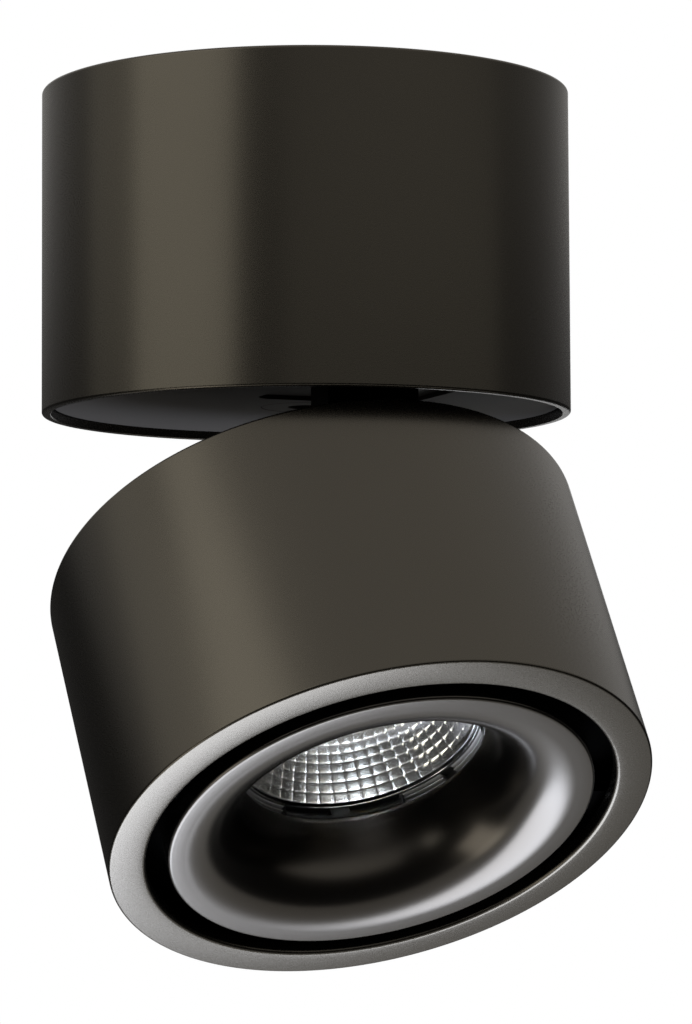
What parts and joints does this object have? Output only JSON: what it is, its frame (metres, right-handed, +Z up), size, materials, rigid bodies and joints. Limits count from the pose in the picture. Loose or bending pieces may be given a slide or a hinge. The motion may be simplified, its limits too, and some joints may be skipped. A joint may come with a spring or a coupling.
{
  "type": "surface mounted ceiling spotlight",
  "caption": "Round ceiling canopy with a cylindrical lamp head that swivels and tilts on a goose-neck hinge, with a trumpet baffle and a faceted reflector.",
  "frame": {"origin": "centre of the ceiling plate's upper face, on the canopy's axis, in the plane of the ceiling", "axes": "+Z up into the ceiling along the canopy's axis; the hinge pin lies along X; the head tilts towards -Y"},
  "size_m": [0.1006, 0.1268, 0.1663],
  "materials": {
    "shell_bronze": "satin anodised, dark bronze",
    "baffle_finish": "smooth glossy anodised, dark bronze",
    "disc_black": "fine matt black paint",
    "arm_black": "matt black paint",
    "plate_steel": "zinc plated",
    "screw_steel": "zinc plated",
    "brass": "plain",
    "spring_steel": "bright",
    "grommet_rubber": "matt",
    "white_plastic": "moulded",
    "black_plastic": "moulded, fine grain",
    "glide_plastic": "slippery",
    "sink_aluminium": "as cast",
    "thermal_pad": "soft",
    "board_white": "fired",
    "phosphor": "silicone",
    "mirror_optic": "vacuum plated, faceted",
    "clear_cover": "clear, polished"
  },
  "bodies": {
    "canopy": {"ceiling_plate": "plate_steel", "cable_grommet": "grommet_rubber", "canopy_shell": "shell_bronze", "canopy_lock_screw": "screw_steel", "driver_case": "white_plastic", "driver_lid": "white_plastic", "driver_screws": "screw_steel", "terminal_block": "white_plastic", "terminal_screws": "screw_steel", "earth_screw": "brass", "bearing_plate": "plate_steel", "bearing_screws": "screw_steel", "stop_peg": "screw_steel"},
    "swivel": {"swivel_disc": "disc_black", "glide_ring": "glide_plastic", "swivel_nipple": "disc_black", "wave_washer": "spring_steel", "stop_washer": "plate_steel", "nipple_nut": "brass", "hinge_arm": "arm_black", "arm_screws": "screw_steel"},
    "head": {"head_shell": "shell_bronze", "back_cap": "disc_black", "cap_screws": "screw_steel", "hinge_pin": "screw_steel", "hinge_washers": "spring_steel", "heat_sink": "sink_aluminium", "sink_screws": "screw_steel", "thermal_pad": "thermal_pad", "cob_board": "board_white", "cob_emitter": "phosphor", "cob_holder": "white_plastic", "cob_screws": "screw_steel", "lens_barrel": "black_plastic", "barrel_screws": "screw_steel", "reflector": "mirror_optic", "cover_lens": "clear_cover", "lens_retainer": "black_plastic", "trim_carrier": "black_plastic", "carrier_standoffs": "brass", "carrier_screws": "screw_steel", "baffle": "baffle_finish", "clip_blocks": "black_plastic", "clip_springs": "spring_steel"}
  },
  "joints": [
    {"name": "pan_swivel", "type": "hinge", "parent": "canopy", "child": "swivel", "pos_m": [0, 0, -0.0583], "axis": [0, 0, 1], "range_deg": [-172, 172]},
    {"name": "head_tilt", "type": "hinge", "parent": "swivel", "child": "head", "pos_m": [0, -0.04333, -0.07264], "axis": [-1, 0, 0], "range_deg": [-33, 57]}
  ]
}
